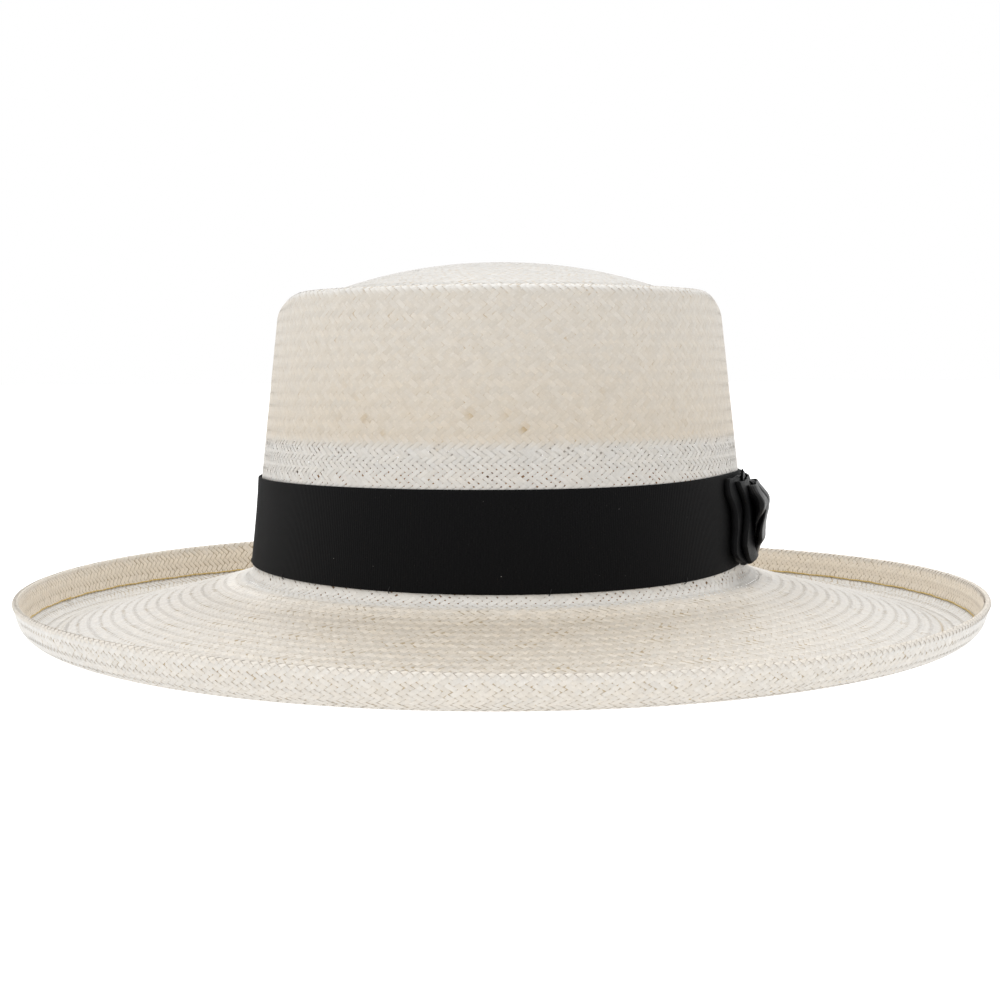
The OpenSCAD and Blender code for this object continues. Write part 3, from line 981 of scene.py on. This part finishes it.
top_loop = hand_in(
    loop_sheet(
        "bow_loop_top", (0.9, 25.3),
        ahead=[(0, 17), (2, 18), (5, 20.5), (9, 22.5), (13, 23), (18, 23), (22, 22), (25, 19.5),
               (28, 17)],
        behind=[(0, 15), (8, 18), (16, 17.5), (24, 18.5), (28, 16)],
        middle=[(0, 3.1), (2, 3.7), (4.6, 4.7), (6.5, 6.4), (10, 6.5), (14, 7.3), (17, 8.3), (19, 8.2),
                (21, 7.2), (23, 5.9), (25, 4.9), (28, 4.4)],
        radius=[(0, 0.45), (4.4, 0.7), (9.4, 1.0), (14.5, 1.35), (19.5, 1.6), (24.5, 1.35), (28, 0.8)],
        squeeze=0.14, nip=2.3, material=LOBE_MATERIAL, crease=lobe_crease),
    "bow_ribbon", "bow_top_loop")


def build_knot():
    """The short wrap over the loops' middle, pleated along its length."""
    half = 5.4
    across = np.linspace(-1, 1, 41)[None, :]
    face = [(1.2, 2.8), (4.4, 4.1), (6.5, 5.6), (10, 6.2), (14, 7.2), (17, 8.0), (19, 8.0), (21, 7.0),
            (23, 5.7), (25, 4.6), (27, 4.2)]
    up = np.linspace(1.2, 25.4, 44)
    out = curve_through(face, up)
    low_turn = [(0.7, 0.55), (1.6, 0.6), (2.3, 0.85)]
    high_turn = [(3.7, 25.9), (2.6, 26.2), (1, 26.3)]
    path = np.array(low_turn + list(zip(out, up)) + high_turn)
    out = path[:, :1]
    up = path[:, 1:]
    on_face = np.clip((out - 2.5) / 2, 0, 1)
    pleats = 0.3 * np.cos(across * 3.2 * math.pi + 0.09 * up) * (1 - across**4)
    rounding = -1.0 * np.abs(across) ** 3.5
    off = out + on_face * (pleats + rounding)
    waist = 1 - 0.10 * np.sin(math.pi * np.clip(up / BAND_W, 0, 1))
    forward = half * across * waist + 0.25 * np.sin(up * 0.5)
    points = on_band(forward, off, up + 0 * forward)
    run = lengths_along(path)[:, None]
    return thicken(grid_mesh("bow_wrap", points, run, forward, BOW_MATERIAL), 0.45)


knot = hand_in(build_knot(), "bow_ribbon", "bow_knot")


def build_tail():
    """The ribbon's pointed end, which stands up behind the loops, a little twisted."""
    share = np.linspace(0, 1, 26)[:, None]
    across = np.linspace(-1, 1, 9)[None, :]
    low = 12
    high = BAND_W + 0.8
    tip_from = 0.72
    up = low + (high - low) * share
    half = 2.8 * np.minimum(1, (1 - share) / (1 - tip_from)) + 0.05
    forward = 17.5 + half * across * 0.55 + 1.8 * share**3
    out = 0.4 + 2.6 * share**2 + half * across * 0.35 * share
    points = on_band(forward, out, up + 0 * across)
    return thicken(grid_mesh("bow_tip", points, half * across, up, BOW_MATERIAL), 0.35)


tail = hand_in(build_tail(), "bow_ribbon", "bow_tail")


# ---- threads and wire
def build_tacks():
    """Small black stitches over the band's lower edge."""
    sweep = Sweep()
    count = 12
    for place in range(count):
        turn = 0.02 + place / count
        low = float(band_edges(turn)[0])
        z = low + np.array([-0.5, -0.15, 0.3, 0.8, 1.2, 1.5])
        out = np.array([0.1, 0.75, 1.0, 0.98, 0.95, 0.6])
        path = on_wall(turn + np.linspace(0, 0.0012, 6), z, out)
        ahead = on_wall(turn + 0.001, low, 1.0) - on_wall(turn, low, 1.0)
        sweep.thread(path, 0.28, across=ahead)
    black = thread_material("thread_black", (0.003, 0.003, 0.003), (0.012, 0.012, 0.012))
    return sweep.made("band_stitches", black)


def build_hem_thread():
    """The golden thread along the hem's cut edge, with one loose end."""
    sweep = Sweep()
    diameter = 0.58

    def beside_cut(turn):
        base = straw_point(turn, S_END - 0.05)
        inner_s = S_END - 0.6
        ahead = normalised(base - straw_point(turn, inner_s))
        return base + ahead * 0.25 + straw_axes(turn, inner_s)[2] * 0.15

    turn = np.arange(900) / 900
    path = beside_cut(turn)
    path[:, 2] += 0.10 * np.sin(turn * math.tau * 45) + 0.06 * np.sin(turn * math.tau * 131)
    sweep.thread(path, diameter, closed=True)
    start = beside_cut(np.array([0.468]))[0]
    away = normalised(np.array([start[0], start[1], 0.0]))
    side = np.cross(UPRIGHT, away)
    k = np.linspace(0, 1, 12)[:, None]
    loose = start + side * (k * 6 - 2) - away * (k * 2.2 + 0.2) + UPRIGHT * (0.3 + 2.2 * k * (1 - k))
    sweep.thread(loose, 0.3, sides=6)
    golden = thread_material("golden_cotton", (0.50, 0.34, 0.09), (0.72, 0.54, 0.22))
    return sweep.made("golden_thread", golden)


def build_wire():
    """The spring wire inside the rim's fold."""
    sweep = Sweep()
    turn = np.arange(400) / 400
    diameter = 0.7
    middle = (straw_point(turn, S_RIM) + straw_point(turn, S_RIM + math.pi * LAYER_STEP / 2)) / 2
    sweep.thread(middle, diameter, sides=10, closed=True)
    n = Nodes("spring_wire")
    rub = n.noise(n.fibre(), 0.8, 3, size=(0.2, 3, 1))
    colour = n.mix(n.remap(rub, 0.35, 0.7, 0, 1), (0.62, 0.61, 0.58), (0.48, 0.47, 0.44))
    n.bump(rub, 0.2, 0.00005)
    n.set(Base_Color=colour, Roughness=0.25)
    return sweep.made("rim_wire", n.material)


tacks = hand_in(build_tacks(), "tack_thread", "band_tacks")
hand_in(build_hem_thread(), "hem_thread", "hem_thread")
hand_in(build_wire(), "edge_wire", "brim_wire")

# ---- the sweatband
SWEAT_LOW = -0.4
SWEAT_W = 32.0
SWEAT_T = 1.0
SWEAT_OFF = -0.75
# The share of a turn at which the back is, and the girth there
BACK = 0.25
INNER_GIRTH = float(perimeter(HEAD_HALF_W - 2))


def leather_material(name, dark, light, scale):
    """Fine-grained leather: pores and creases, darker where hands and skin have worn it."""
    n = Nodes(name)
    uv = n.fibre()
    cells = n.add("TexVoronoi", {"Scale": scale, "Vector": uv}, feature="DISTANCE_TO_EDGE")
    creases = n.remap(cells.outputs["Distance"], 0.0, 0.25, 0, 1)
    broad = n.noise(uv, 0.05, 4)
    fine = n.noise(uv, 3.0, 3)
    share = n.math("ADD", n.remap(broad, 0.35, 0.65, 0, 0.7), n.remap(fine, 0.3, 0.7, 0, 0.3))
    colour = n.mix(share, dark, light)
    pores = n.mix(n.remap(creases, 0, 1, 0.35, 0), colour, tuple(c * 0.45 for c in dark))
    n.bump(n.math("ADD", creases, fine), 0.45, 0.00015)
    n.set(
        Base_Color=pores, Roughness=n.remap(broad, 0.3, 0.7, 0.38, 0.55), Specular_IOR_Level=0.45)
    return n.material


SWEAT_LEATHER = leather_material("sheepskin", (0.30, 0.165, 0.07), (0.46, 0.285, 0.14), 1.1)
SEAM_LEATHER = leather_material("seam_skin", (0.15, 0.07, 0.03), (0.25, 0.125, 0.055), 1.3)


def build_sweatband():
    """The leather strip inside the crown: its ends meet at the back, its top edge is free."""
    turn = np.linspace(BACK + 0.0004, BACK + 1 - 0.0004, 420)[:, None]
    angle = math.tau * turn
    height = np.r_[0, np.linspace(0.03, 0.97, 15), 1]
    around = np.r_[height, height[::-1]]
    bulge = np.r_[0.5, np.ones(15), 0.5]
    face = np.r_[-bulge, bulge[::-1]] * SWEAT_T / 2
    top_wave = 0.25 * np.sin(angle * 9) + 0.2 * np.sin(angle * 5 + 1)
    z = SWEAT_LOW + (SWEAT_W - 0.2 + top_wave * 0.6) * around
    lean_in = -0.35 * around**3 * (1 + 0.6 * np.sin(angle * 7) * np.sin(angle * 3))
    off = SWEAT_OFF - SWEAT_T / 2 + face + lean_in + 0.05 * np.sin(angle * 31) * around
    points = on_wall(np.broadcast_to(turn, z.shape), z, off)
    rows, columns = points.shape[:2]
    quads = [grid_quads(rows, columns, close_columns=True)]
    half = columns // 2
    for row, flip in ((0, 1), (rows - 1, -1)):
        low = row * columns + np.arange(half - 1)
        far = row * columns + columns - 1 - np.arange(half - 1)
        quads.append(np.stack([low, low + 1, far - 1, far], -1)[:, ::flip])
    made = mesh_of("leather_sweatband", points.reshape(-1, 3), np.vstack(quads), SWEAT_LEATHER)
    run = turn * perimeter(HEAD_HALF_W)
    v = np.r_[height * SWEAT_W, SWEAT_W * 2 + 1 - height[::-1] * SWEAT_W]
    set_uv(made, pairs(run, v))
    return made


def cloth_material(name, dark, light, pitches, soil, relief, **shader):
    """Plain-woven cloth. soil is the scale of its patches, the ends of the noise that shows
    and the patches' share of the colour."""
    n = Nodes(name)
    uv = n.fibre()
    along, across, _ = n.split(uv)
    weave = n.math("MULTIPLY", n.sine(along, pitches[0]), n.sine(across, pitches[1]))
    scale, low, high, part = soil
    patches = n.remap(n.noise(uv, scale, 3), low, high, 0, part)
    share = n.math("ADD", n.remap(weave, -1, 1, 0, 1 - part), patches)
    n.bump(weave, relief, 0.0001)
    n.set(Base_Color=n.mix(share, dark, light), **shader)
    return n.material


def build_reed():
    """A cord covered in woven tape, under the sweatband's lower edge."""
    sweep = Sweep()
    turn = np.arange(420) / 420
    diameter = 1.6
    path = on_wall(turn, SWEAT_LOW - 0.95, SWEAT_OFF - SWEAT_T / 2)
    sweep.thread(path, diameter, sides=16, closed=True)
    return sweep.made("taped_reed", cloth_material(
        "reed_tape", (0.50, 0.42, 0.29), (0.72, 0.64, 0.50), pitches=(0.5, 0.4),
        soil=(2.0, 0.3, 0.7, 0.4), relief=0.5, Roughness=0.85))


def build_sweat_stitches():
    """Running stitches just over the sweatband's lower edge; each dips into the leather."""
    sweep = Sweep()
    count = 64
    z = 2.2
    length = 4.6
    diameter = 0.48
    dip = np.array([0.42, 0.2, 0.05, 0, 0, 0, 0.05, 0.2, 0.42])
    slope = np.linspace(-0.12, 0.12, len(dip))
    along = np.linspace(-0.5, 0.5, len(dip)) * length / INNER_GIRTH
    for place in range(count):
        turn = (place + 0.5) / count + BACK + along
        path = on_wall(turn, z + slope, SWEAT_OFF - SWEAT_T - 0.2 + dip)
        sweep.thread(path, diameter)
    ecru = thread_material("ecru_thread", (0.62, 0.55, 0.42), (0.80, 0.74, 0.62))
    return sweep.made("sweatband_thread", ecru)


def beside_back(aside, z, off):
    """Points on the sweatband's inner face at the back: mm to one side, height and mm inward."""
    turn = BACK + aside / INNER_GIRTH
    return on_wall(turn, z, SWEAT_OFF - SWEAT_T - off)


def build_seam():
    """The leather strip over the sweatband's join, with its two rows of stitches."""
    strip = Sweep()
    low = 5
    high = 28.9
    z = np.linspace(low, high, 40)
    path = beside_back(0, z, 0.45 + 0.05 * np.sin(z))
    across = beside_back(1, 10, 0.4) - beside_back(-1, 10, 0.4)
    width = 7 - 0.8 * np.exp(low - z) - 0.8 * np.exp(z - high)
    strip.add(path, across, width, 0.7, flat=0.22, sides=28)
    made = strip.made("seam_strip", SEAM_LEATHER)
    thread = Sweep()
    for side in (-2.5, 2.5):
        for low in np.arange(6.2, 27, 2.4):
            z = np.linspace(low, low + 1.8, 7)
            dip = np.array([0.3, 0.08, 0, 0, 0, 0.08, 0.3])
            thread.thread(beside_back(side, z, 0.95 - dip), 0.34, across=across)
    brown = thread_material("seam_thread", (0.10, 0.06, 0.03), (0.22, 0.14, 0.08))
    return made, thread.made("seam_strip_thread", brown)


def build_seam_bow():
    """A small tied bow of narrow ribbon at the foot of the join."""
    sweep = Sweep()
    z0 = 10.0
    for side in (-1, 1):
        a = np.linspace(0, 1, 33)
        grow = np.sin(a * math.pi)
        aside = side * (0.6 + 8.0 * grow**0.8)
        rise = (a - 0.5) * 5.2 * grow + side * aside * 0.18
        off = 1.9 + 0.55 * np.sin(a * math.tau)
        path = beside_back(aside, z0 + rise, off)
        away = beside_back(aside, z0 + rise, off + 1) - path
        sweep.add(path, away, 1.7, 0.25, flat=0.3, sides=12)
        k = np.linspace(0, 1, 16)
        aside = side * (0.4 + 3.6 * k)
        fall = z0 - 0.6 - 8.2 * k
        path = beside_back(aside, fall, 1.5 + 0.7 * np.sin(k * 3) - 0.4 * k)
        across = beside_back(aside + 1, fall, 1.6) - path
        sweep.add(path, across, 1.8, 0.25, flat=0.3, sides=12)
    a = np.linspace(0, math.tau, 24, endpoint=False)
    around = (z0 + 1.5 * np.cos(a), 1.95 + 1.05 * np.sin(a))
    wrap = beside_back(0, *around)
    across = beside_back(1, *around) - wrap
    sweep.add(wrap, across, 2.1, 0.3, closed=True, flat=0.3, sides=12)
    return sweep.made("back_bow", BOW_MATERIAL)


def build_tag():
    """The blank woven tag, hanging inside the sweatband beside the join."""
    aside = -INNER_GIRTH * 20 / 360
    low = 9
    high = 23
    z = np.linspace(low, high, 30)
    off = 1.0 + 0.9 * ((high - z) / (high - low)) ** 2 + 0.12 * np.sin(z * 0.9)
    path = beside_back(aside, z, off)
    across = beside_back(aside + 1, z, off) - path
    sweep = Sweep()
    sweep.add(path, across, 15.6, 0.4, flat=0.12, sides=36)
    return sweep.made("blank_tag", cloth_material(
        "tag_cloth", (0.66, 0.65, 0.61), (0.82, 0.82, 0.80), pitches=(0.35, 0.35),
        soil=(0.25, 0.35, 0.65, 0.5), relief=0.4, Roughness=0.6, Sheen_Weight=0.2))


sweatband = hand_in(build_sweatband(), "sweatband_leather", "sweatband")
reed = hand_in(build_reed(), "reed_tape", "sweatband_reed")
sweat_stitches = hand_in(build_sweat_stitches(), "sweat_thread", "sweatband_stitching")
seam, seam_stitches = build_seam()
hand_in(seam, "seam_leather", "sweatband_seam")
hand_in(seam_stitches, "sweat_thread", "sweatband_seam")
seam_bow = hand_in(build_seam_bow(), "seam_ribbon", "seam_bow")
tag = hand_in(build_tag(), "tag_cloth", "size_tag")

# ---- stage, light and camera
def build_stage():
    n = Nodes("floor")
    n.set(Base_Color=(0.4, 0.4, 0.4, 1), Roughness=0.9, Emission_Color=(1, 1, 1, 1), Emission_Strength=0.9)
    half = 30.0 / MM
    points = np.array([(-half, -half, 0), (half, -half, 0), (half, half, 0), (-half, half, 0)], float)
    floor = mesh_of("floor", points, np.array([[0, 1, 2, 3]]), n.material, smooth=False)
    floor.location.z = -0.0002


def build_light():
    world = bpy.data.worlds.new("studio")
    bpy.context.scene.world = world
    world.use_nodes = True
    background = world.node_tree.nodes["Background"]
    background.inputs[0].default_value = (1, 1, 1, 1)
    background.inputs[1].default_value = 1.0
    for name, place, size, power in (
        ("key", (-0.8, -0.5, 1.5), 0.9, 5),
        ("top", (0.1, 0.7, 1.6), 1.2, 12),
    ):
        lamp = bpy.data.lights.new(name, "AREA")
        lamp.size = size
        lamp.energy = power
        made = bpy.data.objects.new(name, lamp)
        made.location = place
        made.rotation_euler = (Vector((0, 0, 0.05)) - Vector(place)).to_track_quat("-Z", "Y").to_euler()
        bpy.context.scene.collection.objects.link(made)


def build_camera():
    """Far enough away, and low enough, to see the hat as the reference view does."""
    away = 0.650
    high = 0.085
    aside = 0.0252
    down = 0.0647
    roll = -0.0051
    focal_share = 1.879
    camera = bpy.data.cameras.new("camera")
    camera.sensor_width = 36
    camera.lens = camera.sensor_width * focal_share
    camera.clip_start = 0.01
    camera.clip_end = 100
    look = Vector((math.sin(aside) * math.cos(down), math.cos(aside) * math.cos(down), -math.sin(down)))
    right = look.cross(Vector((0, 0, 1))).normalized()
    up = right.cross(look)
    axes = Matrix((right, up, -look)).transposed() @ Matrix.Rotation(roll, 3, "Z")
    place = Vector((-away * math.sin(aside), -away * math.cos(aside), high))
    made = bpy.data.objects.new("camera", camera)
    made.matrix_world = Matrix.Translation(place) @ axes.to_4x4()
    bpy.context.scene.collection.objects.link(made)
    bpy.context.scene.camera = made


build_stage()
build_light()
build_camera()
bpy.context.scene.view_settings.view_transform = "Standard"
